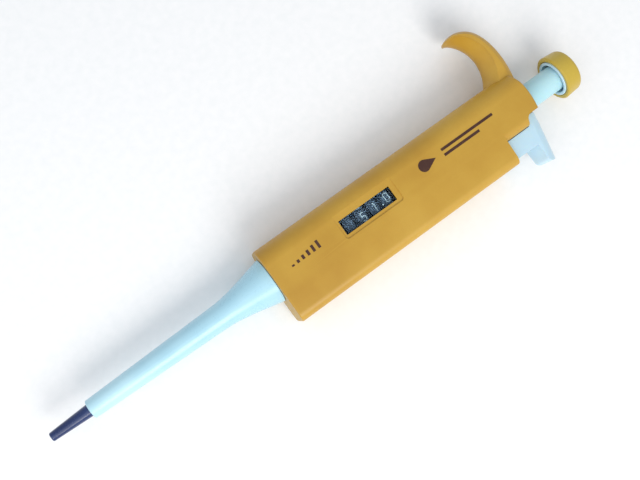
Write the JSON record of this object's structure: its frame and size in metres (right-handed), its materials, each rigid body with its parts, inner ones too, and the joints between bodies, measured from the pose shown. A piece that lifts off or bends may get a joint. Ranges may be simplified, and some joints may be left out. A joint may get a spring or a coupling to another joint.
{
  "type": "variable-volume micropipette",
  "caption": "Hand-held single-channel pipette with finger hook, volume counter window, turn-and-press plunger button, thumb ejector button and sleeve over a tapered nozzle.",
  "frame": {"origin": "bottom centre of the bounding box, on the surface that the flat back rests on", "axes": "+X along the plunger axis from the nozzle's end to the push button, +Y towards the finger hook, +Z out of the front, with the counter window"},
  "size_m": [0.245, 0.0638, 0.024],
  "materials": {
    "handle_yellow": "satin moulded golden yellow",
    "button_yellow": "satin moulded yellow",
    "white_plastic": "smooth cool white",
    "white_rod": "smooth cool white",
    "white_sleeve": "smooth cool white",
    "navy_plastic": "polished dark blue",
    "clear_lens": "clear polished",
    "dark_drum": "fine matt, printed digits",
    "bright_steel": "ground",
    "spring_steel": "drawn wire",
    "brass": "turned",
    "ptfe": "waxy",
    "black_rubber": "soft matt",
    "inner_plastic": "moulded grey"
  },
  "bodies": {
    "handle": {"front_shell": "handle_yellow", "rear_shell": "handle_yellow", "window_lens": "clear_lens", "case_screws": "bright_steel", "tip_shaft": "navy_plastic", "nozzle_bulkhead": "inner_plastic", "shaft_nut": "inner_plastic", "piston_seal": "ptfe", "seal_o_ring": "black_rubber", "seal_retainer": "inner_plastic", "main_spring": "spring_steel", "counter_frame": "inner_plastic", "pinion_axle": "bright_steel", "upper_bulkhead": "inner_plastic", "guide_pins": "bright_steel", "blow_out_cage": "inner_plastic", "blow_out_spring": "spring_steel", "top_bush": "inner_plastic", "ejector_guide": "inner_plastic", "ejector_spring": "spring_steel"},
    "setting": {"setting_sleeve": "brass", "tenths_drum": "dark_drum"},
    "plunger": {"drive_shaft": "bright_steel", "plunger_rod": "white_rod", "rod_circlip": "spring_steel", "button_cap": "button_yellow", "button_ring": "white_plastic"},
    "piston_unit": {"piston": "bright_steel", "piston_cap": "inner_plastic"},
    "blow_out_stop": {"blow_out_plate": "bright_steel"},
    "range_stop": {"range_stop_nut": "brass"},
    "units": {"units_drum": "dark_drum"},
    "tens": {"tens_drum": "dark_drum"},
    "hundreds": {"hundreds_drum": "dark_drum"},
    "units_carry": {"units_pinion": "inner_plastic"},
    "tens_carry": {"tens_pinion": "inner_plastic"},
    "hundreds_carry": {"hundreds_pinion": "inner_plastic"},
    "ejector": {"ejector_button": "white_plastic", "ejector_rod": "bright_steel", "ejector_arm": "inner_plastic", "rod_clip": "spring_steel", "ejector_sleeve": "white_sleeve"}
  },
  "joints": [
    {"name": "volume_turn", "type": "hinge", "parent": "handle", "child": "setting", "pos_m": [0, -0.0059, 0.012], "axis": [-1, 0, 0], "range_deg": [0, 3312]},
    {"name": "plunger_press", "type": "slide", "parent": "setting", "child": "plunger", "axis": [-1, 0, 0], "range_m": [0, 0.0125], "stiffness_N_per_m": 300, "springref_m": -0.004},
    {"name": "piston_press", "type": "slide", "parent": "handle", "child": "piston_unit", "axis": [-1, 0, 0], "range_m": [0, 0.01251], "deforming": ["main_spring"]},
    {"name": "blow_out_travel", "type": "slide", "parent": "handle", "child": "blow_out_stop", "axis": [-1, 0, 0], "range_m": [0, 0.00231], "deforming": ["blow_out_spring"]},
    {"name": "range_stop_travel", "type": "slide", "parent": "handle", "child": "range_stop", "axis": [1, 0, 0], "range_m": [0, 0.00921]},
    {"name": "units_turn", "type": "hinge", "parent": "handle", "child": "units", "pos_m": [0, -0.0059, 0.012], "axis": [-1, 0, 0], "range_deg": [0, 1656.83]},
    {"name": "tens_turn", "type": "hinge", "parent": "handle", "child": "tens", "pos_m": [0, -0.0059, 0.012], "axis": [-1, 0, 0], "range_deg": [0, 165.68]},
    {"name": "hundreds_turn", "type": "hinge", "parent": "handle", "child": "hundreds", "pos_m": [0, -0.0059, 0.012], "axis": [-1, 0, 0], "range_deg": [0, 16.57]},
    {"name": "units_carry_turn", "type": "hinge", "parent": "handle", "child": "units_carry", "pos_m": [0, -0.01558, 0.0061], "axis": [-1, 0, 0], "range_deg": [-4142.07, 0]},
    {"name": "tens_carry_turn", "type": "hinge", "parent": "handle", "child": "tens_carry", "pos_m": [0, -0.01558, 0.0061], "axis": [-1, 0, 0], "range_deg": [-414.21, 0]},
    {"name": "hundreds_carry_turn", "type": "hinge", "parent": "handle", "child": "hundreds_carry", "pos_m": [0, -0.01558, 0.0061], "axis": [-1, 0, 0], "range_deg": [-41.42, 0]},
    {"name": "ejector_press", "type": "slide", "parent": "handle", "child": "ejector", "axis": [-1, 0, 0], "range_m": [0, 0.0052], "stiffness_N_per_m": 500, "springref_m": -0.004, "deforming": ["ejector_spring"]}
  ],
  "couplings": [
    {"joint": "piston_press", "follows": "plunger_press", "ratio": 1},
    {"joint": "blow_out_travel", "follows": "plunger_press", "ratio": 0.184},
    {"joint": "range_stop_travel", "follows": "volume_turn", "m_per_rad": 0.00015915},
    {"joint": "units_turn", "follows": "volume_turn", "ratio": 0.5},
    {"joint": "tens_turn", "follows": "volume_turn", "ratio": 0.05},
    {"joint": "hundreds_turn", "follows": "volume_turn", "ratio": 0.005},
    {"joint": "units_carry_turn", "follows": "volume_turn", "ratio": -1.25},
    {"joint": "tens_carry_turn", "follows": "volume_turn", "ratio": -0.125},
    {"joint": "hundreds_carry_turn", "follows": "volume_turn", "ratio": -0.0125}
  ]
}
